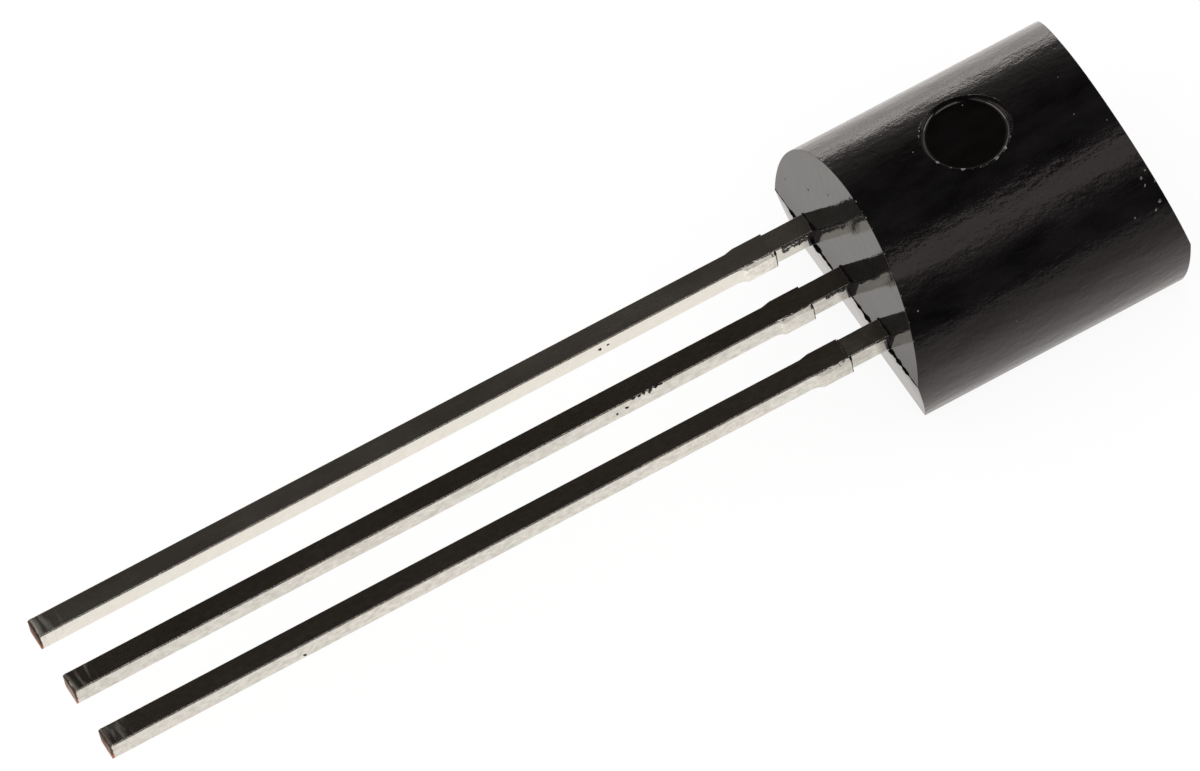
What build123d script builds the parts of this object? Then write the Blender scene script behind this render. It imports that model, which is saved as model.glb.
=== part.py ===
from build123d import *
import os
from math import atan2, degrees, radians, sqrt, tan

# A three-lead voltage regulator in a moulded plastic package, lying on its flat.
# Millimetres, +Z up. The origin is the middle of the flat. The leads run out along -X,
# the round side faces +Z, and the stamped lead frame lies on the level parting plane
# where the two halves of the mould met.

# Moulded package: a short round bar with a flat along it, moulded in two drafted halves
body_length = 5.1  # at the parting plane
body_diameter = 4.84
body_depth = 3.58  # from the flat to the crown of the round side
parting_height = 1.2  # from the flat to the parting plane
round_end_draft = 9.0  # degrees, on both ends of the round half
flat_end_draft = 6.0  # degrees, on both ends of the flat half
body_edge_chamfer = 0.02  # round the flat, and along the curved edges of both ends

# Round mark that the ejector pin left on the crown
pin_mark_diameter = 1.52  # at the height of the crown
pin_mark_depth = 0.2  # from the crown to the floor of the mark
pin_mark_draft = 13.0  # degrees

# Stamped leads
lead_pitch = 1.27
lead_width = 0.42
lead_thickness = 0.35
lead_length = 14.3  # from the end of the package to the cut tips
lead_edge_chamfer = 0.02  # along the long edges
tip_roll_length = 0.13  # where the shear drew the upper face down at the tip
tip_roll_drop = 0.05

# What is left of the bar that tied the leads together while they were moulded
dambar_distance = 0.72  # from the end of the package to the near step of a stub
dambar_length = 0.54
dambar_blend = 0.16  # the sloping end of a stub, away from the package
dambar_stub = 0.035  # how far a stub stands out from the side of its lead

# Wide heads of the leads, inside the package
post_setback = 0.75  # from the end of the package to the two bond posts
post_length = 0.75
post_width = 1.1
post_shift = 0.15  # outwards from the middle of the lead
flag_gap = 0.3  # between the bond posts and the flag that carries the die
flag_length = 2.3
flag_width = 2.4
head_corner_radius = 0.12

# Silicon die and the layer that bonds it to the flag
die_setback = 0.35  # from the near end of the flag to the die
die_length = 1.0
die_width = 1.3
die_thickness = 0.25
attach_thickness = 0.03
attach_margin = 0.04  # how far the bonding layer spreads past the die at its foot

# Bond wires: a ball on the die, a loop, and a stitch on a post or on the flag
wire_diameter = 0.05  # across the corners
wire_side_count = 8  # a few flats stand for the round of the thin wire
ball_diameter = 0.12
ball_height = 0.03
loop_height = 0.2  # from the top of the die to the crest of the loop
pad_inset = 0.15  # from the edges of the die to the middle of a bond pad
ground_reach = 0.75  # from the pad of the ground wire, towards the end of the flag

# How far a cut or a blank runs past the face that it has to clear
cut_overrun = 0.5

# Places that follow from the sizes above
end_x = -body_length / 2
tip_x = end_x - lead_length
frame_top = parting_height + lead_thickness
post_x = end_x + post_setback
flag_x = post_x + post_length + flag_gap
post_y = lead_pitch + post_shift
die_x = flag_x + die_setback + die_length / 2
die_foot = frame_top + attach_thickness
die_top = die_foot + die_thickness
pad_x = die_length / 2 - pad_inset
pad_y = die_width / 2 - pad_inset
pin_mark_floor = body_depth - pin_mark_depth
body_radius = body_diameter / 2
flat_side = sqrt(body_radius**2 - (body_depth - body_radius) ** 2)

frame_plane = Plane.XY.offset(parting_height)
from_near_end = (Align.MIN, Align.CENTER)


def stamped_lead(lead_y, head_x, head_y, head_length, head_width):
    """A straight lead with its dambar stubs, softened edges and sheared tip, and its wide head."""
    run_start = tip_x - cut_overrun
    run_end = head_x + head_length / 2
    stub_x = end_x - dambar_distance
    stub_end_x = stub_x - dambar_length
    blend_x = stub_end_x - dambar_blend
    side = lead_width / 2
    stub_side = side + dambar_stub
    with BuildPart() as lead:
        with BuildSketch(frame_plane):
            with Locations((run_start, lead_y)):
                Rectangle(run_end - run_start, lead_width, align=from_near_end)
            with BuildLine():
                Polyline(
                    (stub_x, lead_y - stub_side),
                    (stub_x, lead_y + stub_side),
                    (stub_end_x, lead_y + stub_side),
                    (blend_x, lead_y + side),
                    (blend_x, lead_y - side),
                    (stub_end_x, lead_y - stub_side),
                    close=True,
                )
            make_face()
        extrude(amount=lead_thickness)
        chamfer(lead.faces().filter_by(Axis.Z).edges(), lead_edge_chamfer)
        split(bisect_by=Plane.YZ.offset(tip_x), keep=Keep.TOP)
        with BuildSketch(Plane.XZ.offset(-lead_y)):
            with BuildLine():
                roll_start = (tip_x + tip_roll_length, frame_top)
                roll_end = (tip_x, frame_top - tip_roll_drop)
                TangentArc(roll_start, roll_end, tangent=(-1, 0))
                Polyline(
                    roll_end,
                    (tip_x - cut_overrun, frame_top - tip_roll_drop),
                    (tip_x - cut_overrun, frame_top + cut_overrun),
                    (tip_x + tip_roll_length, frame_top + cut_overrun),
                    roll_start,
                )
            make_face()
        extrude(amount=lead_width, both=True, mode=Mode.SUBTRACT)
        with BuildSketch(frame_plane):
            with Locations((head_x, head_y)):
                RectangleRounded(head_length, head_width, head_corner_radius, align=from_near_end)
        extrude(amount=lead_thickness)
    return lead


def bond_wire(pad, stitch):
    """A wire that rises from its ball on the die, bends over and comes down to its stitch on the frame."""
    foot = Vector(*pad, die_top)
    reach = Vector(stitch[0] - pad[0], stitch[1] - pad[1], 0)
    loop_plane = Plane(origin=foot, x_dir=reach, z_dir=reach.cross(Vector(0, 0, 1)))
    crest = (loop_height, loop_height)
    below_stitch = (reach.length, frame_top - die_top - wire_diameter)
    with BuildPart() as wire:
        with BuildLine(loop_plane):
            TangentArc((0, 0), crest, tangent=loop_plane.y_dir)
            TangentArc(crest, below_stitch, tangent=loop_plane.x_dir)
        with BuildSketch(Plane(foot)):
            RegularPolygon(wire_diameter / 2, wire_side_count)
        sweep()
        split(bisect_by=Plane.XY.offset(frame_top), keep=Keep.TOP)
        with BuildSketch(Plane(foot)):
            Circle(ball_diameter / 2)
        extrude(amount=ball_height)
    return wire


def package_half(keep, end_draft):
    """One half of the round bar with its flat, on one side of the parting plane, with both ends drafted."""
    with BuildPart() as half:
        with BuildSketch(Plane.YZ.offset(end_x)):
            with BuildLine():
                ThreePointArc((-flat_side, 0), (0, body_depth), (flat_side, 0))
                Line((flat_side, 0), (-flat_side, 0))
            make_face()
        extrude(amount=body_length)
        split(bisect_by=frame_plane, keep=keep)
        draft(half.faces().filter_by(Axis.X), frame_plane, end_draft)
    return half


# The three leads: the outer two end in bond posts, the middle one carries the die
lead_output = stamped_lead(-lead_pitch, post_x, -post_y, post_length, post_width)
lead_ground = stamped_lead(0, flag_x, 0, flag_length, flag_width)
lead_input = stamped_lead(lead_pitch, post_x, post_y, post_length, post_width)

# Layer of die attach, spreading a little from the die down to the flag
with BuildPart() as die_attach:
    with BuildSketch(Plane((die_x, 0, frame_top))):
        Rectangle(die_length + 2 * attach_margin, die_width + 2 * attach_margin)
    extrude(amount=attach_thickness, taper=degrees(atan2(attach_margin, attach_thickness)))

# Sawn silicon die
with BuildPart() as silicon_die:
    with BuildSketch(Plane((die_x, 0, die_foot))):
        Rectangle(die_length, die_width)
    extrude(amount=die_thickness)

# Bond wires from the die to the two posts and down to the flag
post_middle = post_x + post_length / 2
bond_wire_output = bond_wire((die_x - pad_x, -pad_y), (post_middle, -post_y))
bond_wire_input = bond_wire((die_x - pad_x, pad_y), (post_middle, post_y))
bond_wire_ground = bond_wire((die_x + pad_x, 0), (die_x + pad_x + ground_reach, 0))

inner_pieces = {
    "lead_output": lead_output,
    "lead_ground": lead_ground,
    "lead_input": lead_input,
    "die_attach": die_attach,
    "silicon_die": silicon_die,
    "bond_wire_output": bond_wire_output,
    "bond_wire_input": bond_wire_input,
    "bond_wire_ground": bond_wire_ground,
}

# Half of the package below the parting plane, which tapers down to the flat
flat_half = package_half(Keep.BOTTOM, -flat_end_draft)
with BuildPart() as softened_flat_half:
    add(flat_half.part)
    chamfer(softened_flat_half.edges().group_by(Axis.Z)[0], body_edge_chamfer)

# Half above the parting plane, moulded in one with the flat half round the lead frame
round_half = package_half(Keep.TOP, round_end_draft)
with BuildPart() as moulded_body:
    add(round_half.part)
    chamfer(moulded_body.edges().filter_by(GeomType.ELLIPSE), body_edge_chamfer)
    add(softened_flat_half.part)
    with Locations((0, 0, pin_mark_floor)):
        Cone(
            pin_mark_diameter / 2 - pin_mark_depth * tan(radians(pin_mark_draft)),
            pin_mark_diameter / 2,
            pin_mark_depth,
            align=(Align.CENTER, Align.CENTER, Align.MIN),
            mode=Mode.SUBTRACT,
        )
    for piece in inner_pieces.values():
        add(piece.part, mode=Mode.SUBTRACT)

os.makedirs("parts", exist_ok=True)
for name, piece in {"moulded_body": moulded_body, **inner_pieces}.items():
    piece.part.label = name
    export_step(piece.part, f"parts/{name}.step")
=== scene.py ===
import math
import random

import bmesh
import bpy
from mathutils import Matrix, Vector


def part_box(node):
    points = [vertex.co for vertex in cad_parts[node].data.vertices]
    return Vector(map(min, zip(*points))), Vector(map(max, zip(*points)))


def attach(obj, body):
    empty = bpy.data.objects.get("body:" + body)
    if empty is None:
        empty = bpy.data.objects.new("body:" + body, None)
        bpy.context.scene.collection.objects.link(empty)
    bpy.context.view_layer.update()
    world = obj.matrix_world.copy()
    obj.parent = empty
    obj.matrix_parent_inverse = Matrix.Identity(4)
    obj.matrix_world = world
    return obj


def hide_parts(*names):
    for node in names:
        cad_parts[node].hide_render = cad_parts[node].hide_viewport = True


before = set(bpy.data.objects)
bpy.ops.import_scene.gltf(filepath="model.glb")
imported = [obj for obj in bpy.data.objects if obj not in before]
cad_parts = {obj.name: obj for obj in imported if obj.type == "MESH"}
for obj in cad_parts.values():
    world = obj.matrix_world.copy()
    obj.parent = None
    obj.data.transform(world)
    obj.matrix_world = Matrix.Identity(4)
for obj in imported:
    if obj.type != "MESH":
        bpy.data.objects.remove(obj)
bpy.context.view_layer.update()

# Looks of a small voltage regulator that lies on its flat: the moulded package, its tinned
# leads, and the frame, die and wires inside. Metres, +Z up, leads along -X, in the CAD frame.

MM = 0.001
BODY = "root"

# Camera: where the photograph was taken from
VIEW_AZIMUTH = math.radians(-17.39)
VIEW_ELEVATION = math.radians(53.49)
VIEW_ROLL = math.radians(-13.61)
VIEW_DISTANCE = 198.72 * MM
AIM = Vector((-6.951, 0.169, 1.752)) * MM
LENS = 369.4  # on a 36 mm sensor
NEAREST_SEEN = 10 * MM

# Package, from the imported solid
body_low, body_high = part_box("moulded_body")
BODY_LENGTH = body_high.x - body_low.x
BODY_DEPTH = body_high.z - body_low.z
BODY_RADIUS = (body_high.y - body_low.y) / 2
PARTING_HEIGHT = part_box("lead_output")[0].z
SECTION_HEIGHT = BODY_DEPTH - BODY_RADIUS  # middle of the round section
ROUND_END_DRAFT = math.radians(9)
FLAT_END_DRAFT = math.radians(6)
EDGE_ROUND = 0.012 * MM

# Ejector pin mark on the crown
MARK_RADIUS = 0.76 * MM  # at the height of the crown
MARK_DEPTH = 0.2 * MM
MARK_DRAFT = math.radians(13)
MARK_FLOOR = BODY_DEPTH - MARK_DEPTH
MARK_FOOT_ROUND = 0.12 * MM
MARK_WALL_FOOT = MARK_RADIUS - (MARK_DEPTH - MARK_FOOT_ROUND) * math.tan(MARK_DRAFT)  # radius
MARK_PATCH = 1.05 * MM  # half the side of the square of skin round the mark

# Cells of the package's skin
MARK_CELLS = 40  # along each side of the square round the mark
SHOULDER_CELLS = 40  # from that square round to the parting plane
FLANK_CELLS = 18  # from the parting plane round to the flat
END_CELLS = 24  # from that square to each end
ACROSS_CELLS = 40  # across the ends and the flat
RING_CELLS = 10  # from that square in to the mark
WALL_CELLS = 4
FOOT_CELLS = 8
FLOOR_CELLS = 12
PATCH_ROW = FLANK_CELLS + SHOULDER_CELLS  # where that square starts, round the section
PATCH_COLUMN = END_CELLS  # and along the package
OUTLINE_TURN = math.radians(40)  # edges of the package that turn more than this are rounded
SMOOTH_TURN = math.radians(12)  # edges that turn less than this are shaded smooth
END_FACING = 0.95  # how squarely a face of an end looks along the package

# Leads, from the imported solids, in order from the near one to the far one
LEAD_NODES = ("lead_output", "lead_ground", "lead_input")
lead_boxes = [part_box(name) for name in LEAD_NODES]
LEAD_LOW = lead_boxes[0][0].z
LEAD_TOP = lead_boxes[0][1].z
TIP_X = lead_boxes[0][0].x
LEAD_PITCH = 1.27 * MM
LEAD_YS = (-LEAD_PITCH, 0.0, LEAD_PITCH)
LEAD_SIDE = 0.21 * MM  # half a lead's width
STUB_SIDE = 0.245 * MM  # half the width across the dambar stubs
STUB_X = -BODY_LENGTH / 2 - 0.72 * MM  # the stubs' step towards the package
STUB_END_X = STUB_X - 0.54 * MM

# Ragged edges
SEED = 7
SUNK = 0.004 * MM  # how far a small piece is let into what carries it
WANDER = 4  # steps over which a ragged edge wanders
WANDER_NOISE = (0.85, 1.15)  # and how unevenly
FINE_STEP = 0.022 * MM
MIDDLE_STEP = 0.025 * MM
COARSE_STEP = 0.03 * MM

# Flash: the lip round the mark, and the fin on the parting line
RIM_STEPS = 150
RIM_LIP = 0.02 * MM
RIM_LOW = 0.35  # height of the lip on its lowest side, as a share of the lip
RIM_HIGH_TURN = math.radians(25)  # from the near side towards +X, where the lip is highest
RIM_RAGGED = (0.1, 1.0)
RIM_CREST = 0.4  # how far out the crest lies, as a share of the lip
RIM_ROOT = (0.8, 1.6)  # and the outer root
FIN_WIDTH = 0.026 * MM
FIN_ROOT = 0.02 * MM
FIN_TAPER = 0.8 * MM  # towards the sides of the package
FIN_THICKNESS = 0.01 * MM
FIN_END = 0.01 * MM  # short of the sides of the package
FIN_RAGGED = (0.3, 1.7)
FIN_LEAST = 0.15  # of its width, at the sides of the package
FIN_EDGE = 0.3  # height of its outer edge, as a share of its thickness

# Dambar stubs: the sheared side, and the bead of resin in its corner
SHEAR_PROUD = 0.034 * MM
SHEAR_RUN_OUT = 0.05 * MM  # past the stub's end
SHEAR_UNEVEN = 0.001  # millimetres, in and out
SHEAR_LOW = (0.006, 0.014)  # millimetres above the underside of the lead
SHEAR_LIP = 0.01 * MM
ROLL_REACH = (0.01, 0.034)  # millimetres: how far the rolled edge reaches in over the top
ROLL_SLOPE = 0.74
ROLL_LIFT = SUNK * 0.75
BEAD_WIDTH = 0.036 * MM
BEAD_RAGGED = (0.7, 1.1)
BEAD_FOOT = 0.5  # of its width, at its foot
BEAD_FACE = 0.7  # of its width, on its outer side
BEAD_LOW = 0.015 * MM  # above the underside of the lead
BEAD_PROUD = 0.9  # of the sheared side

# Films of resin on the leads, and by the package a black sheet on each lead that is painted shadow
CREASE = 0.05 * MM  # where a lead's top meets the package
CREASE_RAGGED = (0.3, 1.0)
LINE_WIDTH = 0.014 * MM
LINE_RAGGED = (0.5, 1.0)
LINE_SKEW = 0.06
LINE_CREST = 0.5  # of its width
BLEED_FILM = 0.01 * MM
BLEED_UNEVEN = (0.8, 1.2)
BLEED_RAGGED = (0.75, 1.1)
BLEED_START = 0.05 * MM  # inside the package
BLEED_THINNING = 0.2  # of its depth, from the package to its far end
BLEED_TOP = (0.004 * MM, 0.014 * MM)  # below the top of the lead, at its root and on its face
BLEED_LIP = 0.006 * MM
BLEED_CLEAR = 0.01 * MM  # above the underside of the lead
BLEEDS = (  # by lead, millimetres: along it, down its side, and along at full height by the package, where it is a black sheet for shade: painted shadow
    (0.25, 0.04, 0.03), (0.50, 0.10, 0.06), (0.62, 0.19, 0.09),
)

# Crumbs: shares of the size, and where they lie
CRUMB_CORNERS = 7
CRUMB_STRETCH = (1.0, 2.1)
CRUMB_SKEW = 0.3  # of the turn from corner to corner
CRUMB_REACH = (0.5, 1.1)
CRUMB_PEAK = (0.25, 0.4)
CRUMB_RISE = (0.06, 0.2)
CRUMB_CROWN = (0.35, 0.75)
CRUMB_SUNK = 0.15
RIM_CRUMBS = [  # bearing round the mark in degrees, size in millimetres
    (204, 0.07), (222, 0.04), (237, 0.075), (250, 0.035), (261, 0.06), (268, 0.045),
    (284, 0.07), (301, 0.08), (146, 0.04), (155, 0.035), (318, 0.03),
]
SIDE_CRUMBS = [  # millimetres along the package, degrees from the crown, size in millimetres
    (2.23, -48.0, 0.05), (2.12, -50.1, 0.07), (2.13, -53.3, 0.05), (2.31, -53.7, 0.045),
    (2.26, -62.1, 0.085), (2.14, -64.7, 0.05), (1.77, -63.5, 0.04), (1.77, 1.4, 0.03),
    (1.64, -16.1, 0.03), (2.06, -24.2, 0.03), (-2.13, -55.5, 0.035), (-0.65, -80.9, 0.03),
    (-0.92, 1.9, 0.05), (0.22, 11.6, 0.03),
]
EDGE_CRUMBS = (-6, -11, -14, -19, -30, -38, -47, -52, -58, -66)  # degrees, along the lead end's edge
EDGE_CRUMB_SIZES = (0.012, 0.028)  # millimetres
END_SPECKS = [(2.07, 1.79), (0.64, 2.83), (1.30, 2.30)]  # millimetres across and up the lead end
END_SPECK_SIZE = 0.035 * MM
RESIN_SPECKS = [  # lead, then millimetres along and up, and size in millimetres
    (2, -6.38, 1.40, 0.06), (2, -6.53, 1.38, 0.075), (1, -6.07, 1.53, 0.06), (1, -6.15, 1.53, 0.08),
    (1, -6.26, 1.51, 0.115), (1, -6.38, 1.53, 0.09), (1, -6.46, 1.52, 0.08), (1, -6.57, 1.53, 0.06),
    (1, -6.72, 1.39, 0.07), (1, -6.90, 1.36, 0.075), (0, -13.34, 1.28, 0.085),
]
TIN_SPECKS = [  # lead, then millimetres along and up, and size in millimetres
    (2, -2.64, 1.51, 0.045), (2, -2.74, 1.50, 0.035), (2, -2.83, 1.50, 0.05), (2, -2.91, 1.49, 0.035),
    (2, -2.98, 1.49, 0.05), (2, -3.06, 1.48, 0.06), (1, -2.79, 1.50, 0.06), (1, -2.90, 1.51, 0.035),
    (0, -2.60, 1.51, 0.06),
]
TIN_SPECK_RISE = 0.5

# Black moulding compound
EPOXY_IOR = 1.56
EPOXY_DARKEST = (0.0038, 0.0034, 0.0036)
EPOXY_LIGHTEST = (0.0108, 0.0098, 0.0101)
EPOXY_CLOUD_DEPTH = 0.022 * MM
EPOXY_STROKE_DEPTH = 0.006 * MM
EPOXY_GRAIN_DEPTH = 0.001 * MM
# Pale broken resin for the crumbs, light enough to be partly painted glints
BROKEN_DARKEST = (0.10, 0.095, 0.085)
BROKEN_AND_GLINT_LIGHTEST = (0.42, 0.40, 0.36)

# Tinned copper
TIN = (0.745, 0.725, 0.665)
TARNISH = (0.20, 0.18, 0.14, 1)
TARNISH_BELOW = (0.22, 0.27)  # where the mottle is lower than this
TARNISH_SHARE = 0.7
COPPER = [(0.1, (0.52, 0.22, 0.14)), (0.5, (0.26, 0.11, 0.07)), (0.9, (0.10, 0.065, 0.045))]
CUT_DEPTH = (0.028 * MM, 0.042 * MM)  # from the tip to where the cut ends
CUT_RAGGED = 0.012 * MM
CUT_ROUGHER = 0.2
DRAWN_HEIGHT = (0.03 * MM, 0.2 * MM)  # above the underside, where drawn tin takes over
DRAWN_RAGGED = 0.25
TIP_LINES = (0.42 * MM, 0.5 * MM)  # from the tip to where the lines across the lead end
TIP_ROUGHER = 0.30
STUB_EDGE = 0.02 * MM
TIN_CLOUD_DEPTH = 0.006 * MM
SCRATCH_DEPTH = 0.0006 * MM
SHEARED_EDGE = (0.019 * MM, 0.022 * MM)  # in from the side and down from the top
PAST_SIDE = (0.001 * MM, 0.003 * MM)
SHEARED_DEPTH = 0.04 * MM

# Noise lies mostly between these
NOISE = (0.3, 0.7)

# Floor: plain white, with most of its white a glow that only the camera sees
FLOOR_SIZE = 3.0
CAMERA_GLOW = 0.899  # the rest of the white comes from light, and shows the shadow
CAMERA_PAPER = (0.16, 0.16, 0.16, 1)
PAPER = (0.8, 0.8, 0.8, 1)
FLOOR_FADE = [  # how bright the floor is in reflections, by millimetres towards +Y
    (-40, 0.0), (-24, 0.01), (-15, 0.10), (-10.5, 0.36), (-6, 0.41), (-4.7, 0.56),
    (-3.9, 0.66), (-3.2, 0.85), (-1.2, 0.94), (0, 1.06), (12, 1.3), (40, 1.2),
]
LEAD_END_PAINTED_SHADOW = [(-3.6, 1.0), (-2.6, 0.76), (-2.5, 1.0)]  # and by millimetres towards +X, darker by the lead end: painted shadow in the floor's reflected glow
WARMTH = (1.0, 0.97, 0.945)

# Room and lamps: glow is brightness as seen, where 1 is white
SOFT_LIGHT = 0.6
ROOM_DARK = (0.012, 0.011, 0.010, 1)
BACK_GLOW = [  # by the upward share of the direction
    (0.0, (0.80, 0.776, 0.756)), (0.12, (0.74, 0.718, 0.699)), (0.26, (0.31, 0.301, 0.293)),
    (0.42, (0.19, 0.184, 0.178)), (0.56, (0.12, 0.114, 0.108)), (0.68, (0.062, 0.055, 0.049)),
    (0.76, (0.021, 0.0172, 0.0145)), (1.0, (0.008, 0.0066, 0.0056)),
]
BEHIND = (0.05, 0.35)  # share of the direction towards +Y over which that glow comes in
SIDE_GLOW = [  # to both sides, by the upward share of the direction
    (0.0, (0.50, 0.485, 0.473)), (0.35, (0.42, 0.407, 0.397)), (0.6, (0.16, 0.154, 0.149)),
    (0.8, (0.02, 0.0185, 0.017)),
]
BESIDE = (0.6, 0.85)  # share of the direction along X over which that glow comes in
FRONT_PANELS = [  # lowest and highest angle above the floor in degrees, and glow
    ("front_panel", 40, 61, 0.66), ("front_fill", 32, 40, 0.20), ("front_low", 24, 32, 0.06),
]
FRONT_REACH = 0.30
FRONT_SHIFT = 0.053
FRONT_WIDTH = 0.26
BACK_REACH = 0.085
BACK_SHIFT = 0.015
BACK_HEIGHT = 0.0135
BACK_WIDTH = 0.26
BACK_STRIP = 1.9
SIDE_PANELS = [  # degrees from +X round towards +Y, width, and glow
    ("left_panel", 162, 0.30, 0.85), ("right_panel", -25, 0.22, 0.9),
]
SIDE_REACH = 0.33
SIDE_TILT = math.radians(20)  # above the floor
SIDE_HEIGHT = 0.095


def new_piece(name, mesh_data, material):
    """A new piece that rides on the one body."""
    piece = bpy.data.objects.new(name, mesh_data)
    bpy.context.scene.collection.objects.link(piece)
    mesh_data.materials.append(material)
    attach(piece, BODY)
    return piece


def half_length_at(z):
    """Half the package's length at a height: both ends are drafted away from the parting plane."""
    if z > PARTING_HEIGHT:
        return BODY_LENGTH / 2 - (z - PARTING_HEIGHT) * math.tan(ROUND_END_DRAFT)
    return BODY_LENGTH / 2 - (PARTING_HEIGHT - z) * math.tan(FLAT_END_DRAFT)


def on_section(angle):
    """The point of the round section at an angle from the crown, as (y, z)."""
    return BODY_RADIUS * math.sin(angle), SECTION_HEIGHT + BODY_RADIUS * math.cos(angle)


def spaced(start, end, cells):
    """Even steps from start to end, without the end itself."""
    return [start + (end - start) * step / cells for step in range(cells)]


def mark_rim(bearing):
    """The point where the mark's drafted wall meets the round of the crown, as (x, y)."""
    radius = MARK_RADIUS
    for _ in range(4):
        y = radius * math.sin(bearing)
        drop = BODY_RADIUS - math.sqrt(BODY_RADIUS**2 - y**2)
        radius = MARK_RADIUS - drop * math.tan(MARK_DRAFT)
    return radius * math.cos(bearing), radius * math.sin(bearing)


def section_angles():
    """Angles round the section from edge to edge of the flat, with rows at the parting plane."""
    patch = MARK_PATCH / BODY_RADIUS
    parting = math.acos((PARTING_HEIGHT - SECTION_HEIGHT) / BODY_RADIUS)
    flat = math.acos(-SECTION_HEIGHT / BODY_RADIUS)
    far = spaced(patch, parting, SHOULDER_CELLS) + spaced(parting, flat, FLANK_CELLS) + [flat]
    near = [-angle for angle in reversed(far)]
    return near[:-1] + spaced(-patch, patch, MARK_CELLS) + far


def side_places(angles):
    """Places on the round side: a row along the package at each angle, starting at the lead end."""
    rows = []
    for angle in angles:
        y, z = on_section(angle)
        reach = half_length_at(z)
        xs = (
            spaced(-reach, -MARK_PATCH, END_CELLS)
            + spaced(-MARK_PATCH, MARK_PATCH, MARK_CELLS)
            + spaced(MARK_PATCH, reach, END_CELLS)
            + [reach]
        )
        rows.append([(x, y, z) for x in xs])
    return rows


def patch_border():
    """Row and column of each vertex round the square, in order."""
    high_row = PATCH_ROW + MARK_CELLS
    high_column = PATCH_COLUMN + MARK_CELLS
    return (
        [(PATCH_ROW, column) for column in range(PATCH_COLUMN, high_column)]
        + [(row, high_column) for row in range(PATCH_ROW, high_row)]
        + [(high_row, column) for column in range(high_column, PATCH_COLUMN, -1)]
        + [(row, PATCH_COLUMN) for row in range(high_row, PATCH_ROW, -1)]
    )


def add_side(skin, places):
    """The round side, left open round the mark. Returns its vertices by row and column."""
    patch_rows = range(PATCH_ROW, PATCH_ROW + MARK_CELLS)
    patch_columns = range(PATCH_COLUMN, PATCH_COLUMN + MARK_CELLS)
    vertices = []
    for row, row_places in enumerate(places):
        vertices.append([
            None if row in patch_rows[1:] and column in patch_columns[1:] else skin.verts.new(place)
            for column, place in enumerate(row_places)
        ])
    for row in range(len(places) - 1):
        for column in range(len(places[0]) - 1):
            if row in patch_rows and column in patch_columns:
                continue
            skin.faces.new((
                vertices[row][column],
                vertices[row][column + 1],
                vertices[row + 1][column + 1],
                vertices[row + 1][column],
            ))
    return vertices


def around(bearings, radius, z):
    """Places at one radius and height round the mark."""
    return [Vector((radius * math.cos(bearing), radius * math.sin(bearing), z)) for bearing in bearings]


def mark_profile():
    """Radius and height, from the foot of the mark's wall round and in along its floor."""
    floor_radius = MARK_WALL_FOOT - MARK_FOOT_ROUND
    profile = []
    for step in range(1, FOOT_CELLS + 1):
        turn = math.pi / 2 * step / FOOT_CELLS
        radius = floor_radius + MARK_FOOT_ROUND * math.cos(turn)
        profile.append((radius, MARK_FLOOR + MARK_FOOT_ROUND * (1 - math.sin(turn))))
    for radius in spaced(floor_radius, 0, FLOOR_CELLS)[1:]:
        profile.append((radius, MARK_FLOOR))
    return profile


def add_mark(skin, angles, places, vertices):
    """The skin from the square in to the rim of the mark, then the mark's wall, foot and floor."""
    border = patch_border()
    bearings = [math.atan2(BODY_RADIUS * angles[row], places[row][column][0]) for row, column in border]
    rings = [[vertices[row][column] for row, column in border]]
    for step in range(1, RING_CELLS + 1):
        share = step / RING_CELLS
        ring = []
        for (row, column), bearing in zip(border, bearings):
            rim_x, rim_y = mark_rim(bearing)
            rim_angle = math.asin(rim_y / BODY_RADIUS)
            x = places[row][column][0] * (1 - share) + rim_x * share
            y, z = on_section(angles[row] * (1 - share) + rim_angle * share)
            ring.append(skin.verts.new((x, y, z)))
        rings.append(ring)
    rim = [vertex.co.copy() for vertex in rings[-1]]
    wall_foot = around(bearings, MARK_WALL_FOOT, MARK_FLOOR + MARK_FOOT_ROUND)
    for step in range(1, WALL_CELLS + 1):
        share = step / WALL_CELLS
        rings.append([skin.verts.new(top.lerp(low, share)) for top, low in zip(rim, wall_foot)])
    for radius, z in mark_profile():
        rings.append([skin.verts.new(place) for place in around(bearings, radius, z)])
    for outer, inner in zip(rings, rings[1:]):
        for here in range(len(outer)):
            after = (here + 1) % len(outer)
            skin.faces.new((outer[here], outer[after], inner[after], inner[here]))
    middle = skin.verts.new((0, 0, MARK_FLOOR))
    last = rings[-1]
    for here in range(len(last)):
        skin.faces.new((last[here], last[(here + 1) % len(last)], middle))


def row_across(skin, near, far):
    """A row of vertices from one side of the package to the other."""
    between = [
        skin.verts.new(near.co.lerp(far.co, step / ACROSS_CELLS))
        for step in range(1, ACROSS_CELLS)
    ]
    return [near] + between + [far]


def add_cells(skin, rows):
    """Faces between rows that run across the package."""
    for first, second in zip(rows, rows[1:]):
        for here in range(ACROSS_CELLS):
            skin.faces.new((first[here], first[here + 1], second[here + 1], second[here]))


def add_end(skin, vertices, column):
    """One end, in rows at the heights of the side's rows. Returns the lowest row."""
    crown = len(vertices) // 2
    rows = [row_across(skin, vertices[row][column], vertices[-1 - row][column]) for row in range(crown)]
    add_cells(skin, rows)
    top = vertices[crown][column]
    for here in range(ACROSS_CELLS):
        skin.faces.new((rows[-1][here], rows[-1][here + 1], top))
    return rows[0]


def material_place(face):
    """Which of the package's materials a face has: 0 on its sides, 1 on its ends and 2 in the mark."""
    middle = face.calc_center_median()
    if abs(face.normal.x) > END_FACING and abs(middle.x) > MARK_PATCH:
        return 1
    if middle.xy.length < MARK_RADIUS:
        round_z = on_section(math.asin(middle.y / BODY_RADIUS))[1]
        if middle.z < round_z - SUNK:
            return 2
    return 0


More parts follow.
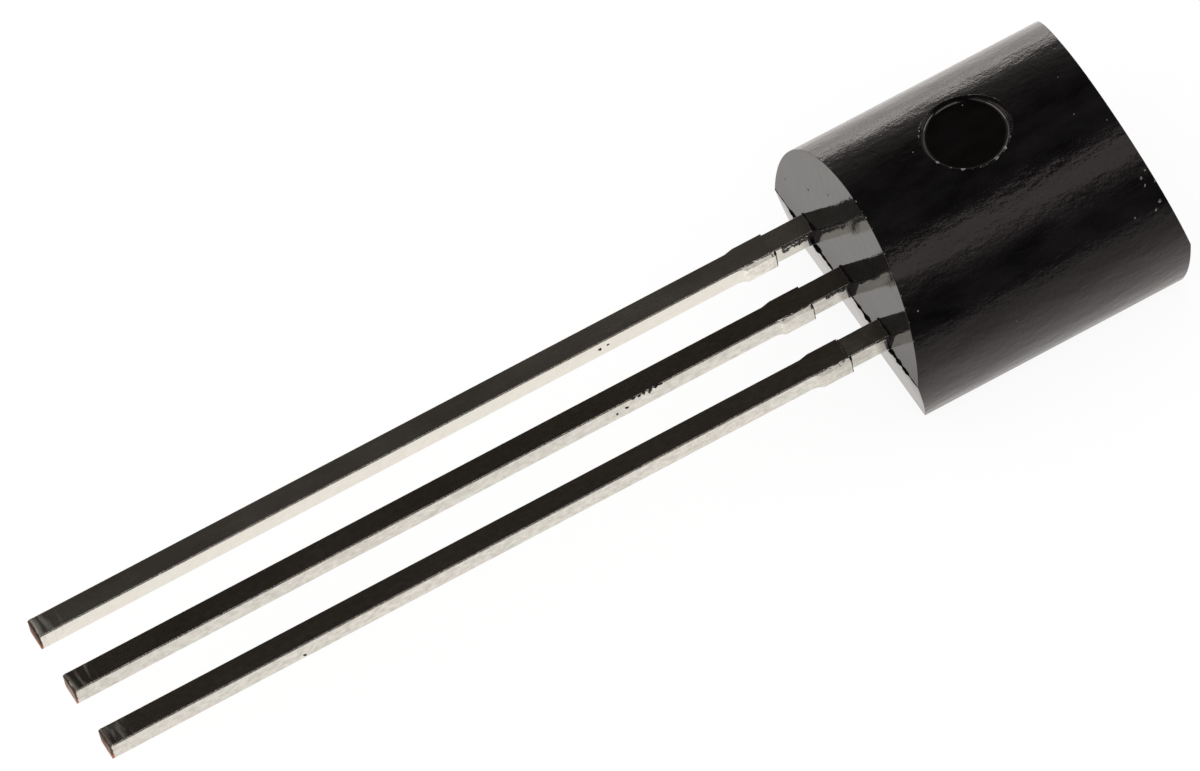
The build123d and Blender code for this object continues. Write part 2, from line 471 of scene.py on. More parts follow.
def package_mesh():
    """The package's outer skin as one closed mesh, with the mark let into its crown."""
    skin = bmesh.new()
    angles = section_angles()
    places = side_places(angles)
    vertices = add_side(skin, places)
    add_mark(skin, angles, places, vertices)
    lead_end = add_end(skin, vertices, 0)
    far_end = add_end(skin, vertices, -1)
    flat = [row_across(skin, near, far) for near, far in zip(vertices[0][1:-1], vertices[-1][1:-1])]
    add_cells(skin, [lead_end] + flat + [far_end])

    bmesh.ops.recalc_face_normals(skin, faces=skin.faces)
    outline = [
        edge for edge in skin.edges
        if edge.calc_face_angle(0) > OUTLINE_TURN and edge.verts[0].co.xy.length > MARK_PATCH
    ]
    bmesh.ops.bevel(skin, geom=outline, offset=EDGE_ROUND, segments=2, profile=0.5, affect="EDGES")
    for edge in skin.edges:
        edge.smooth = edge.calc_face_angle(0) < SMOOTH_TURN
    for face in skin.faces:
        face.smooth = True
        face.material_index = material_place(face)
    made = bpy.data.meshes.new("package_skin")
    skin.to_mesh(made)
    skin.free()
    return made


def add_node(tree, kind, inputs=None, **settings):
    """A new node with its settings, and inputs that are values or other nodes' sockets."""
    made = tree.nodes.new(kind)
    for key, value in settings.items():
        setattr(made, key, value)
    for key, value in (inputs or {}).items():
        if isinstance(value, bpy.types.NodeSocket):
            tree.links.new(value, made.inputs[key])
        else:
            made.inputs[key].default_value = value
    return made


def new_material(name):
    """A material with its node tree and its one shader."""
    material = bpy.data.materials.new(name)
    material.use_nodes = True
    return material, material.node_tree, material.node_tree.nodes["Principled BSDF"]


def own_place(tree):
    """The place on the piece, in metres in the CAD frame."""
    return add_node(tree, "ShaderNodeTexCoord").outputs["Object"]


def lumps(tree, per_mm, stretch=(1, 1, 1), detail=3.0, roughness=0.5):
    """Noise with about so many lumps to a millimetre."""
    scale = [per_mm * share / MM for share in stretch]
    mapped = add_node(tree, "ShaderNodeMapping", {"Vector": own_place(tree), "Scale": scale})
    inputs = {
        "Vector": mapped.outputs["Vector"],
        "Scale": 1.0,
        "Detail": detail,
        "Roughness": roughness,
    }
    return add_node(tree, "ShaderNodeTexNoise", inputs).outputs["Fac"]


def ranged(tree, value, low, high, to_low, to_high):
    """A value carried from one range to another, and held at its ends."""
    inputs = {"Value": value, "From Min": low, "From Max": high, "To Min": to_low, "To Max": to_high}
    return add_node(tree, "ShaderNodeMapRange", inputs).outputs["Result"]


def spread(tree, noise, to_low, to_high):
    """Noise carried from where it mostly lies to another range."""
    return ranged(tree, noise, *NOISE, to_low, to_high)


def sum_of(tree, first, second):
    """Two values added."""
    return add_node(tree, "ShaderNodeMath", {0: first, 1: second}, operation="ADD").outputs[0]


def product_of(tree, first, second):
    """Two values multiplied."""
    return add_node(tree, "ShaderNodeMath", {0: first, 1: second}, operation="MULTIPLY").outputs[0]


def ramp(tree, value, stops):
    """A colour ramp through (place, colour) stops."""
    made = add_node(tree, "ShaderNodeValToRGB", {"Fac": value})
    elements = made.color_ramp.elements
    while len(elements) < len(stops):
        elements.new(1.0)
    for element, (place, colour) in zip(elements, stops):
        element.position = place
        element.color = (*colour, 1.0)
    return made.outputs["Color"]


def mixed(tree, share, first, second):
    """Two colours mixed by a share of the second."""
    made = add_node(tree, "ShaderNodeMixRGB", {"Fac": share, "Color1": first, "Color2": second})
    return made.outputs["Color"]


def bumped(tree, height, depth, normal=None, strength=1.0):
    """The surface's normal, roughened by a height of so much depth."""
    inputs = {"Height": height, "Strength": strength, "Distance": depth}
    if normal is not None:
        inputs["Normal"] = normal
    return add_node(tree, "ShaderNodeBump", inputs).outputs["Normal"]


def epoxy_material(name, smoothest, roughest, texture, tint, painted_lighting=1.0, gloss=0.5):
    """Black moulding compound: warm gloss over black, clouded, with fine strokes round it and grain."""
    material, tree, shader = new_material(name)
    clouds = lumps(tree, 2.4, stretch=(0.4, 1, 1), detail=5.0, roughness=0.6)
    strokes = lumps(tree, 20, stretch=(1, 0.4, 0.4), detail=3.0, roughness=0.6)
    grain = lumps(tree, 34, detail=2.0)
    # The colour scale lightens or darkens the compound: below 1 it is painted shade, as in the mark's
    # recess.
    darkest = [painted_lighting * share for share in EPOXY_DARKEST]
    lightest = [painted_lighting * share for share in EPOXY_LIGHTEST]
    colour = ramp(tree, clouds, [(0.35, darkest), (0.65, lightest)])
    tree.links.new(colour, shader.inputs["Base Color"])
    tree.links.new(spread(tree, clouds, smoothest, roughest), shader.inputs["Roughness"])
    shader.inputs["IOR"].default_value = EPOXY_IOR
    shader.inputs["Specular IOR Level"].default_value = gloss
    shader.inputs["Specular Tint"].default_value = tint
    normal = bumped(tree, clouds, EPOXY_CLOUD_DEPTH * texture)
    normal = bumped(tree, strokes, EPOXY_STROKE_DEPTH * texture, normal)
    normal = bumped(tree, grain, EPOXY_GRAIN_DEPTH * texture, normal)
    tree.links.new(normal, shader.inputs["Normal"])
    return material


def crumb_material():
    """Pale dull resin, as where thin flash has broken off, and pale enough to stand in for glints:
    partly painted highlights.
    """
    material, tree, shader = new_material("broken_resin_painted_glint")
    mottle = lumps(tree, 18, detail=4.0)
    colour = ramp(tree, mottle, [(0.35, BROKEN_DARKEST), (0.65, BROKEN_AND_GLINT_LIGHTEST)])
    tree.links.new(colour, shader.inputs["Base Color"])
    tree.links.new(spread(tree, mottle, 0.4, 0.65), shader.inputs["Roughness"])
    return material


def tin_material(name, lead_y, smoothest, roughest, painted_lighting, contrast, dulled):
    """Bright tin over copper strip: clouded, mottled and scratched, with bare copper at the cut tip."""
    material, tree, shader = new_material(name)
    clouds = lumps(tree, 0.9, stretch=(0.5, 1, 1), detail=6.0, roughness=0.65)
    mottle = lumps(tree, 11, stretch=(0.7, 1, 1), detail=4.0, roughness=0.65)
    scratches = lumps(tree, 26, stretch=(0.06, 1, 1), detail=2.0)
    place = add_node(tree, "ShaderNodeSeparateXYZ", {"Vector": own_place(tree)}).outputs
    x, y, z = place["X"], place["Y"], place["Z"]
    # The colour scale makes lighter or darker copies of one tin, lead by lead: painted light and shade.
    dull = [painted_lighting * (share - contrast) for share in TIN]
    bright = [painted_lighting * (share + contrast * 0.6) for share in TIN]
    tin = ramp(tree, mottle, [(0.3, dull), (0.65, bright)])
    tin = mixed(tree, ranged(tree, mottle, *TARNISH_BELOW, TARNISH_SHARE, 0.0), tin, TARNISH)

    # Cut tip: reddish copper below, dark where the tool drew the tin over it
    ragged_x = sum_of(tree, x, spread(tree, mottle, -CUT_RAGGED, CUT_RAGGED))
    cut = ranged(tree, ragged_x, TIP_X + CUT_DEPTH[0], TIP_X + CUT_DEPTH[1], 1.0, 0.0)
    drawn = ranged(tree, z, LEAD_LOW + DRAWN_HEIGHT[0], LEAD_LOW + DRAWN_HEIGHT[1], 0.0, 1.0)
    drawn = sum_of(tree, drawn, spread(tree, mottle, -DRAWN_RAGGED, DRAWN_RAGGED))
    tree.links.new(mixed(tree, cut, tin, ramp(tree, drawn, COPPER)), shader.inputs["Base Color"])
    shader.inputs["Metallic"].default_value = 1.0

    # Rougher in lines across the lead by the tip, and in patches by the package
    by_tip = ranged(tree, x, TIP_X + TIP_LINES[0], TIP_X + TIP_LINES[1], 1.0, 0.0)
    lines = lumps(tree, 13, stretch=(1, 0.16, 0.16), detail=2.0)
    tip_marks = product_of(tree, by_tip, ranged(tree, lines, 0.46, 0.68, 0.0, TIP_ROUGHER))
    by_package = ranged(tree, x, STUB_X - STUB_EDGE, STUB_X + STUB_EDGE, 0.0, 1.0)
    patches = lumps(tree, 4, detail=4.0)
    dulling = ranged(tree, patches, 0.35, 0.65, dulled * 0.4, dulled)
    package_marks = product_of(tree, by_package, dulling)
    roughness = spread(tree, clouds, smoothest, roughest)
    for extra in (tip_marks, package_marks, product_of(tree, cut, CUT_ROUGHER)):
        roughness = sum_of(tree, roughness, extra)
    tree.links.new(roughness, shader.inputs["Roughness"])

    # Ragged where the near upper edge was sheared, but not out past the side
    side_y = lead_y - LEAD_SIDE
    near = ranged(tree, y, side_y + SHEARED_EDGE[0], side_y + SHEARED_EDGE[1], 1.0, 0.0)
    upper = ranged(tree, z, LEAD_TOP - SHEARED_EDGE[1], LEAD_TOP - SHEARED_EDGE[0], 0.0, 1.0)
    within = ranged(tree, y, side_y - PAST_SIDE[1], side_y - PAST_SIDE[0], 0.0, 1.0)
    edge = product_of(tree, product_of(tree, near, upper), within)
    normal = bumped(tree, clouds, TIN_CLOUD_DEPTH)
    normal = bumped(tree, scratches, SCRATCH_DEPTH, normal)
    normal = bumped(tree, mottle, SHEARED_DEPTH, normal, edge)
    tree.links.new(normal, shader.inputs["Normal"])
    return material


def plain_metal(name, dark, light, smoothest, roughest, per_mm):
    """A metal or metallic layer with a mottled colour."""
    material, tree, shader = new_material(name)
    mottle = lumps(tree, per_mm)
    colour = ramp(tree, mottle, list(zip(NOISE, (dark, light))))
    tree.links.new(colour, shader.inputs["Base Color"])
    tree.links.new(spread(tree, mottle, smoothest, roughest), shader.inputs["Roughness"])
    shader.inputs["Metallic"].default_value = 1.0
    return material


def loft(mesh, sections, closed=False):
    """A skin through sections of as many points each, with ends unless the run closes on itself."""
    rows = [[mesh.verts.new(point) for point in section] for section in sections]
    pairs = list(zip(rows, rows[1:]))
    if closed:
        pairs.append((rows[-1], rows[0]))
    for first, second in pairs:
        for here in range(len(first)):
            after = (here + 1) % len(first)
            mesh.faces.new((first[here], first[after], second[after], second[here]))
    if not closed:
        mesh.faces.new(rows[0])
        mesh.faces.new(rows[-1])


def steps_between(start, end, step):
    """Even steps from start to end, of about the step given, with both ends."""
    count = max(2, round(abs(end - start) / step))
    return spaced(start, end, count) + [end]


def ragged(count, low, high, rng):
    """Uneven values that wander between two limits."""
    knots = [rng.uniform(low, high) for _ in range(count // WANDER + 2)]
    values = []
    for step in range(count):
        knot, over = divmod(step, WANDER)
        share = over / WANDER
        value = knots[knot] * (1 - share) + knots[knot + 1] * share
        values.append(value * rng.uniform(*WANDER_NOISE))
    return values


def add_crumb(mesh, place, normal, size, rng, along=None, rise=1.0):
    """A small broken lump, wider than high, often longer than wide, and a little sunk where it lies."""
    along = along or normal.orthogonal().normalized()
    across = normal.cross(along)
    stretch = rng.uniform(*CRUMB_STRETCH)
    peak = rng.randrange(CRUMB_CORNERS)
    foot, crown = [], []
    for corner in range(CRUMB_CORNERS):
        turn = 2 * math.pi * (corner + rng.uniform(-CRUMB_SKEW, CRUMB_SKEW)) / CRUMB_CORNERS
        way = along * math.cos(turn) * stretch + across * math.sin(turn)
        way *= size / 2 * rng.uniform(*CRUMB_REACH)
        height = rise * rng.uniform(*(CRUMB_PEAK if corner == peak else CRUMB_RISE))
        foot.append(place + way - normal * size * CRUMB_SUNK)
        crown.append(place + way * rng.uniform(*CRUMB_CROWN) + normal * size * height)
    for point in crown:
        point.z = min(point.z, BODY_DEPTH)
    loft(mesh, [foot, crown])


def on_round_side(x, angle):
    """A place on the package's round side, and the way out from it."""
    y, z = on_section(angle)
    return Vector((x, y, z)), Vector((0, math.sin(angle), math.cos(angle)))


def on_rim(bearing):
    """A place on the rim of the mark, and the way out from the round side there."""
    x, y = mark_rim(bearing)
    return on_round_side(x, math.asin(y / BODY_RADIUS))


def add_rim_flash(mesh, rng):
    """The thin uneven lip round the mark, highest on the near side."""
    sections = []
    for step in range(RIM_STEPS):
        bearing = 2 * math.pi * step / RIM_STEPS
        rim, out = on_rim(bearing)
        away = Vector((math.cos(bearing), math.sin(bearing), 0))
        away = (away - out * away.dot(out)).normalized()
        near = max(0.0, -math.sin(bearing - RIM_HIGH_TURN))
        height = RIM_LIP * (RIM_LOW + near) * rng.uniform(*RIM_RAGGED) ** 2
        crest = rim + away * RIM_LIP * RIM_CREST + out * height
        crest.z = min(crest.z, BODY_DEPTH)
        root = rim + away * RIM_LIP * rng.uniform(*RIM_ROOT) - out * SUNK
        sections.append([root, crest, rim - out * RIM_LIP])
    loft(mesh, sections, closed=True)


def add_parting_flash(mesh, start_y, end_y, rng):
    """A thin ragged fin along the parting line of the lead end."""
    x = -BODY_LENGTH / 2
    ys = steps_between(start_y, end_y, FINE_STEP)
    sections = []
    for y, share in zip(ys, ragged(len(ys), *FIN_RAGGED, rng)):
        share *= min(1.0, FIN_LEAST + (BODY_RADIUS - abs(y)) / FIN_TAPER)
        sections.append([
            Vector((x + FIN_ROOT, y, PARTING_HEIGHT + FIN_THICKNESS)),
            Vector((x - FIN_WIDTH * share, y, PARTING_HEIGHT + FIN_THICKNESS * FIN_EDGE)),
            Vector((x + FIN_ROOT, y, PARTING_HEIGHT - FIN_THICKNESS)),
        ])
    loft(mesh, sections)


def add_sheared_face(mesh, lead_y, rng):
    """The near side of a dambar stub: proud, uneven, and rolled over at the top by the trim tool."""
    outer = lead_y - STUB_SIDE - SHEAR_PROUD
    xs = steps_between(STUB_X, STUB_END_X - SHEAR_RUN_OUT, COARSE_STEP)
    sections = []
    for x, roll in zip(xs, ragged(len(xs), *ROLL_REACH, rng)):
        past_end = max(0.0, (STUB_END_X - x) / SHEAR_RUN_OUT)
        side = outer + SHEAR_PROUD * past_end + rng.uniform(-SHEAR_UNEVEN, SHEAR_UNEVEN) * MM
        crest = lead_y - STUB_SIDE + roll * MM
        shoulder = LEAD_TOP + ROLL_LIFT - (crest - side) * ROLL_SLOPE
        low = LEAD_LOW + rng.uniform(*SHEAR_LOW) * MM
        sections.append([
            Vector((x, lead_y - LEAD_SIDE + SUNK, low)),
            Vector((x, side, low + SHEAR_LIP)),
            Vector((x, side, shoulder)),
            Vector((x, crest, LEAD_TOP + ROLL_LIFT)),
            Vector((x, lead_y - LEAD_SIDE + SUNK, LEAD_TOP - SUNK)),
        ])
    loft(mesh, sections)


def add_corner_resin(mesh, lead_y, rng):
    """A bead of resin left in the corner where a stub steps out from its lead."""
    inner = lead_y - LEAD_SIDE + SUNK
    outer = lead_y - STUB_SIDE - SHEAR_PROUD * BEAD_PROUD
    zs = steps_between(LEAD_LOW + BEAD_LOW, LEAD_TOP - SUNK, COARSE_STEP)
    sections = []
    for step, (z, share) in enumerate(zip(zs, ragged(len(zs), *BEAD_RAGGED, rng))):
        width = BEAD_WIDTH * share * (BEAD_FOOT + (1 - BEAD_FOOT) * step / len(zs))
        sections.append([
            Vector((STUB_X - SUNK, inner, z)),
            Vector((STUB_X - SUNK, outer, z)),
            Vector((STUB_X + width * BEAD_FACE, outer, z)),
            Vector((STUB_X + width, inner, z)),
        ])
    loft(mesh, sections)


def add_resin_bleed(mesh, lead_y, reach, depth, shadow_sheet_reach, rng):
    """A film of resin on the upper part of a lead's near side; at its full height by the package it is
    a black sheet standing in for shade beside the lead, a painted shadow.
    """
    y = lead_y - LEAD_SIDE + SUNK
    start = -BODY_LENGTH / 2 + BLEED_START
    xs = steps_between(start, start - reach, FINE_STEP)
    sections = []
    for x, share in zip(xs, ragged(len(xs), *BLEED_RAGGED, rng)):
        film = BLEED_FILM * rng.uniform(*BLEED_UNEVEN)
        out = -BODY_LENGTH / 2 - x
        drop = depth * share * (1 - BLEED_THINNING * (start - x) / reach)
        # By the package the film runs the lead's full height: a black sheet put where there is shade,
        # painted shadow.
        if out < shadow_sheet_reach:
            drop = LEAD_TOP - LEAD_LOW - BLEED_CLEAR
        low = LEAD_TOP - drop
        sections.append([
            Vector((x, y, LEAD_TOP - BLEED_TOP[0])),
            Vector((x, y - film, LEAD_TOP - BLEED_TOP[1])),
            Vector((x, y - film, low + BLEED_LIP)),
            Vector((x, y, low)),
        ])
    loft(mesh, sections)


def add_crease(mesh, lead_y, rng):
    """A thin film of resin across a lead's top, where it comes out of the package."""
    x = -half_length_at(LEAD_TOP)
    ys = steps_between(lead_y - LEAD_SIDE, lead_y + LEAD_SIDE, MIDDLE_STEP)
    sections = []
    for y, share in zip(ys, ragged(len(ys), *CREASE_RAGGED, rng)):
        sections.append([
            Vector((x + SUNK, y, LEAD_TOP - SUNK)),
            Vector((x - CREASE * share, y, LEAD_TOP - SUNK)),
            Vector((x - CREASE * share + SUNK, y, LEAD_TOP + SUNK)),
            Vector((x + SUNK, y, LEAD_TOP + SUNK)),
        ])
    loft(mesh, sections)


def add_top_line(mesh, lead_y, rng):
    """A hair line of resin across a lead's top, where the mould closed on it."""
    ys = steps_between(lead_y - LEAD_SIDE, lead_y + LEAD_SIDE, COARSE_STEP)
    sections = []
    for y, share in zip(ys, ragged(len(ys), *LINE_RAGGED, rng)):
        x = STUB_X + (y - lead_y) * LINE_SKEW
        width = LINE_WIDTH * share
        sections.append([
            Vector((x - width, y, LEAD_TOP - SUNK)),
            Vector((x - width * LINE_CREST, y, LEAD_TOP + SUNK)),
            Vector((x + width * LINE_CREST, y, LEAD_TOP + SUNK)),
            Vector((x + width, y, LEAD_TOP - SUNK)),
        ])
    loft(mesh, sections)


def finished(mesh, name):
    """A mesh with its faces turned outwards."""
    bmesh.ops.recalc_face_normals(mesh, faces=mesh.faces)
    made = bpy.data.meshes.new(name)
    mesh.to_mesh(made)
    mesh.free()
    return made


def build_package(epoxy, end_epoxy, mark_epoxy_painted_shade):
    """The package's skin, with its own finish on the ends, and in the mark a glossier finish whose
    darker colour is painted shade.
    """
    package = new_piece("package_skin", package_mesh(), epoxy)
    package.data.materials.append(end_epoxy)
    package.data.materials.append(mark_epoxy_painted_shade)
    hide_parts("moulded_body")


def build_flash(epoxy, rng):
    """Flash on the package, and films and specks of resin on the leads, with a painted shadow beside
    each lead by the package.
    """
    flash = bmesh.new()
    add_rim_flash(flash, rng)
    openings = [-BODY_RADIUS + FIN_END]
    for lead_y in LEAD_YS:
        openings += [lead_y - LEAD_SIDE, lead_y + LEAD_SIDE]
    openings.append(BODY_RADIUS - FIN_END)
    for start_y, end_y in zip(openings[::2], openings[1::2]):
        add_parting_flash(flash, start_y, end_y, rng)
    for lead_y, (reach, depth, shadow_sheet_reach) in zip(LEAD_YS, BLEEDS):
        add_corner_resin(flash, lead_y, rng)
        add_resin_bleed(flash, lead_y, reach * MM, depth * MM, shadow_sheet_reach * MM, rng)
        add_crease(flash, lead_y, rng)
    add_top_line(flash, LEAD_YS[0], rng)
    for lead, x, z, size in RESIN_SPECKS:
        place = Vector((x * MM, LEAD_YS[lead] - LEAD_SIDE, z * MM))
        add_crumb(flash, place, Vector((0, -1, 0)), size * MM, rng, Vector((1, 0, 0)))
    for y, z in END_SPECKS:
        place = Vector((-half_length_at(z * MM), y * MM, z * MM))
        add_crumb(flash, place, Vector((-1, 0, 0)), END_SPECK_SIZE, rng)
    new_piece("resin_flash_and_painted_shadow", finished(flash, "resin_flash_and_painted_shadow"), epoxy)


def build_crumbs(broken_resin_painted_glint, rng):
    """Pale crumbs of broken flash, round the mark and on the package's edges and round side; their
    paleness is partly painted glints.
    """
    broken = bmesh.new()
    for degrees, size in RIM_CRUMBS:
        bearing = math.radians(degrees)
        place, out = on_rim(bearing)
        along = Vector((math.sin(bearing), -math.cos(bearing), 0))
        add_crumb(broken, place, out, size * MM, rng, along)
    for degrees in EDGE_CRUMBS:
        place, out = on_round_side(0, math.radians(degrees))
        place.x = -half_length_at(place.z) + EDGE_ROUND
        outward = (out - Vector((1, 0, 0))).normalized()
        along = Vector((0, out.z, -out.y))
        add_crumb(broken, place, outward, rng.uniform(*EDGE_CRUMB_SIZES) * MM, rng, along)
    for x, degrees, size in SIDE_CRUMBS:
        place, out = on_round_side(x * MM, math.radians(degrees))
        add_crumb(broken, place, out, size * MM, rng)
    new_piece("resin_crumbs_painted_glints", finished(broken, "resin_crumbs_painted_glints"), broken_resin_painted_glint)


def build_lead_details(tin):
    """Sheared stub faces and bright burrs on the leads."""
    rng = random.Random(SEED + 1)
    burrs = bmesh.new()
    for lead_y in LEAD_YS:
        add_sheared_face(burrs, lead_y, rng)
    for lead, x, z, size in TIN_SPECKS:
        place = Vector((x * MM, LEAD_YS[lead] - LEAD_SIDE - BLEED_FILM, z * MM))
        add_crumb(burrs, place, Vector((0, -1, 0)), size * MM, rng, Vector((1, 0, 0)), TIN_SPECK_RISE)
    new_piece("lead_burrs", finished(burrs, "lead_burrs"), tin)


epoxy = epoxy_material(
    "moulding_compound", smoothest=0.12, roughest=0.19, texture=1.0, tint=(1.0, 0.9, 0.885, 1))
end_epoxy = epoxy_material(
    "moulding_compound_ends", smoothest=0.045, roughest=0.08, texture=0.2, tint=(1.0, 0.965, 0.93, 1))
# The mark's compound is glossier, and its colour is darkened to 0.45: painted shade in the recess.
mark_epoxy_painted_shade = epoxy_material(
    "moulding_compound_mark_painted_shade", smoothest=0.05, roughest=0.09, texture=0.25,
    tint=(1.0, 0.93, 0.92, 1), painted_lighting=0.45, gloss=1.0)
# The leads differ in their colour scale: painted light and shade on one and the same tin.
tin_far_painted_light = tin_material(
    "tinned_copper_far_painted_light", LEAD_YS[2], smoothest=0.2, roughest=0.3,
    painted_lighting=1.04, contrast=0.03, dulled=0.02)
tin_middle_painted_shade = tin_material(
    "tinned_copper_middle_painted_shade", LEAD_YS[1], smoothest=0.1, roughest=0.17,
    painted_lighting=0.97, contrast=0.13, dulled=0.03)
tin_near_painted_light = tin_material(
    "tinned_copper_near_painted_light", LEAD_YS[0], smoothest=0.11, roughest=0.18,
    painted_lighting=1.05, contrast=0.13, dulled=0.14)
gold = plain_metal(
    "gold_wire", dark=(0.78, 0.55, 0.18), light=(0.88, 0.66, 0.26),
    smoothest=0.2, roughest=0.3, per_mm=30)
adhesive = plain_metal(
    "die_attach_layer", dark=(0.42, 0.42, 0.42), light=(0.56, 0.56, 0.55),
    smoothest=0.4, roughest=0.6, per_mm=20)
silicon = plain_metal(
    "silicon", dark=(0.22, 0.23, 0.27), light=(0.30, 0.31, 0.35),
    smoothest=0.16, roughest=0.24, per_mm=6)
finishes = {
    "moulded_body": epoxy,
    "lead_output": tin_near_painted_light,
    "lead_ground": tin_middle_painted_shade,
    "lead_input": tin_far_painted_light,
    "die_attach": adhesive,
    "silicon_die": silicon,
    "bond_wire_output": gold,
    "bond_wire_input": gold,
    "bond_wire_ground": gold,
}
for node_name, finish in finishes.items():
    cad_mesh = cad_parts[node_name].data
    cad_mesh.materials.clear()
    cad_mesh.materials.append(finish)
build_package(epoxy, end_epoxy, mark_epoxy_painted_shade)
resin_rng = random.Random(SEED)
build_flash(epoxy, resin_rng)
build_crumbs(crumb_material(), resin_rng)
build_lead_details(tin_near_painted_light)


def faded(tree, along, stops):
    """A brightness that follows a place along the floor, through (millimetres, level) stops."""
    start, end = stops[0][0], stops[-1][0]
    brightest = max(level for _, level in stops)
    share = ranged(tree, along, start * MM, end * MM, 0.0, 1.0)
    greys = [((at - start) / (end - start), (level / brightest,) * 3) for at, level in stops]
    return product_of(tree, ramp(tree, share, greys), brightest)


def either_shader(tree, share, first, second):
    """Two shader nodes mixed by a share of the second."""
    inputs = {"Fac": share, 1: first.outputs[0], 2: second.outputs[0]}
    return add_node(tree, "ShaderNodeMixShader", inputs)


def build_floor():
    """A wide plain floor under the part, with a glow of its own for the camera and in reflections."""
    plane = bpy.data.meshes.new("floor")
    reach = FLOOR_SIZE / 2
    corners = [(-reach, -reach, 0), (reach, -reach, 0), (reach, reach, 0), (-reach, reach, 0)]
    plane.from_pydata(corners, [], [(0, 1, 2, 3)])
    floor = bpy.data.objects.new("floor", plane)
    bpy.context.scene.collection.objects.link(floor)
    material = bpy.data.materials.new("floor")
    material.use_nodes = True
    tree = material.node_tree
    tree.nodes.clear()
    place = add_node(tree, "ShaderNodeSeparateXYZ", {"Vector": own_place(tree)}).outputs
    # The floor's glow in reflections, darkened by the lead end as painted shadow.
    brightness = product_of(
        tree, faded(tree, place["Y"], FLOOR_FADE), faded(tree, place["X"], LEAD_END_PAINTED_SHADOW))
    mirrored = add_node(tree, "ShaderNodeEmission", {"Color": (*WARMTH, 1), "Strength": brightness})
    glow = add_node(tree, "ShaderNodeEmission", {"Strength": CAMERA_GLOW})
    sheen = add_node(tree, "ShaderNodeBsdfDiffuse", {"Color": CAMERA_PAPER})
    seen = add_node(tree, "ShaderNodeAddShader", {0: glow.outputs[0], 1: sheen.outputs[0]})
    paper = add_node(tree, "ShaderNodeBsdfDiffuse", {"Color": PAPER})
    rays = add_node(tree, "ShaderNodeLightPath")
    for_camera = either_shader(tree, rays.outputs["Is Camera Ray"], paper, seen)
    for_all = either_shader(tree, rays.outputs["Is Glossy Ray"], for_camera, mirrored)
    add_node(tree, "ShaderNodeOutputMaterial", {"Surface": for_all.outputs[0]})
    plane.materials.append(material)


def build_room():
    """Soft light all round, which gloss shows as a dark room with a low glow behind and beside."""
    world = bpy.data.worlds.new("room")
    bpy.context.scene.world = world
    world.use_nodes = True
    tree = world.node_tree
    tree.nodes.clear()
    way = add_node(tree, "ShaderNodeTexCoord").outputs["Generated"]
    shares = add_node(tree, "ShaderNodeSeparateXYZ", {"Vector": way}).outputs
    behind = ranged(tree, shares["Y"], *BEHIND, 0.0, 1.0)
    aside = add_node(tree, "ShaderNodeMath", {0: shares["X"]}, operation="ABSOLUTE").outputs[0]
    beside = ranged(tree, aside, *BESIDE, 0.0, 1.0)
    room = mixed(tree, behind, ROOM_DARK, ramp(tree, shares["Z"], BACK_GLOW))
    room = mixed(tree, beside, room, ramp(tree, shares["Z"], SIDE_GLOW))
    mirrored = add_node(tree, "ShaderNodeBackground", {"Color": room, "Strength": 1.0})
    soft = add_node(tree, "ShaderNodeBackground", {"Color": (1, 1, 1, 1), "Strength": SOFT_LIGHT})
    white = add_node(tree, "ShaderNodeBackground", {"Color": (1, 1, 1, 1), "Strength": 1.0})
    rays = add_node(tree, "ShaderNodeLightPath")
    for_gloss = either_shader(tree, rays.outputs["Is Glossy Ray"], soft, mirrored)
    for_all = either_shader(tree, rays.outputs["Is Camera Ray"], for_gloss, white)
    add_node(tree, "ShaderNodeOutputWorld", {"Surface": for_all.outputs[0]})


def soft_lamp(name, place, aim, width, height, glow):
    """A soft rectangular lamp of an even glow, which the camera does not see."""
    lamp = bpy.data.lights.new(name, "AREA")
    lamp.shape = "RECTANGLE"
    lamp.size = width
    lamp.size_y = height
    lamp.energy = glow * math.pi * width * height
    lamp.color = WARMTH
    made = bpy.data.objects.new(name, lamp)
    bpy.context.scene.collection.objects.link(made)
    away = (Vector(place) - Vector(aim)).normalized()
    across = Vector((0, 0, 1)).cross(away).normalized()
    turn = Matrix((across, away.cross(across), away)).transposed().to_4x4()
    made.matrix_world = Matrix.Translation(place) @ turn
    made.visible_camera = False


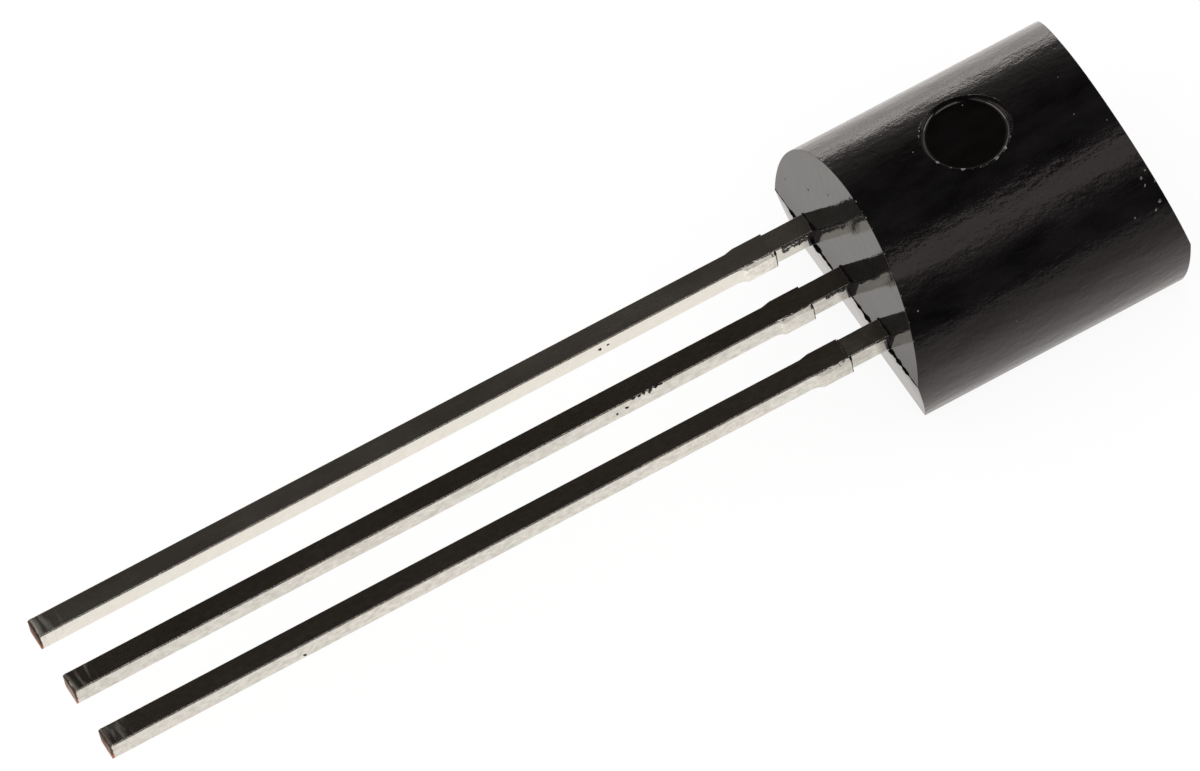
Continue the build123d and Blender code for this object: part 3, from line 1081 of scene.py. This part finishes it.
def build_lamps():
    """A panel by the camera that fades downwards, a low strip behind, and a panel to each side."""
    aim = Vector((0, 0, BODY_DEPTH / 2))
    for name, low, high, glow in FRONT_PANELS:
        tilt = math.radians((low + high) / 2)
        height = 2 * FRONT_REACH * math.tan(math.radians(high - low) / 2)
        away = Vector((FRONT_SHIFT, -FRONT_REACH * math.cos(tilt), FRONT_REACH * math.sin(tilt)))
        soft_lamp(name, aim + away, aim, FRONT_WIDTH, height, glow)
    middle = Vector((BACK_SHIFT, BACK_REACH, BACK_HEIGHT / 2))
    ahead = middle - Vector((0, BACK_REACH, 0))
    soft_lamp("back_strip", middle, ahead, BACK_WIDTH, BACK_HEIGHT, BACK_STRIP)
    for name, round_degrees, width, glow in SIDE_PANELS:
        turn = math.radians(round_degrees)
        level = SIDE_REACH * math.cos(SIDE_TILT)
        rise = SIDE_REACH * math.sin(SIDE_TILT)
        away = Vector((level * math.cos(turn), level * math.sin(turn), rise))
        soft_lamp(name, aim + away, aim, width, SIDE_HEIGHT, glow)


def build_camera():
    """The camera of the photograph, which looks down across the leads and is rolled a little."""
    level = math.cos(VIEW_ELEVATION)
    back = Vector((
        math.sin(VIEW_AZIMUTH) * level,
        -math.cos(VIEW_AZIMUTH) * level,
        math.sin(VIEW_ELEVATION),
    ))
    right = Vector((math.cos(VIEW_AZIMUTH), math.sin(VIEW_AZIMUTH), 0))
    up = back.cross(right)
    turned_right = right * math.cos(VIEW_ROLL) + up * math.sin(VIEW_ROLL)
    turned_up = up * math.cos(VIEW_ROLL) - right * math.sin(VIEW_ROLL)
    lens = bpy.data.cameras.new("camera")
    lens.lens = LENS
    lens.clip_start = NEAREST_SEEN
    camera = bpy.data.objects.new("camera", lens)
    bpy.context.scene.collection.objects.link(camera)
    turn = Matrix((turned_right, turned_up, back)).transposed().to_4x4()
    camera.matrix_world = Matrix.Translation(AIM + back * VIEW_DISTANCE) @ turn
    bpy.context.scene.camera = camera


build_floor()
build_room()
build_lamps()
build_camera()
bpy.context.scene.view_settings.view_transform = "Standard"
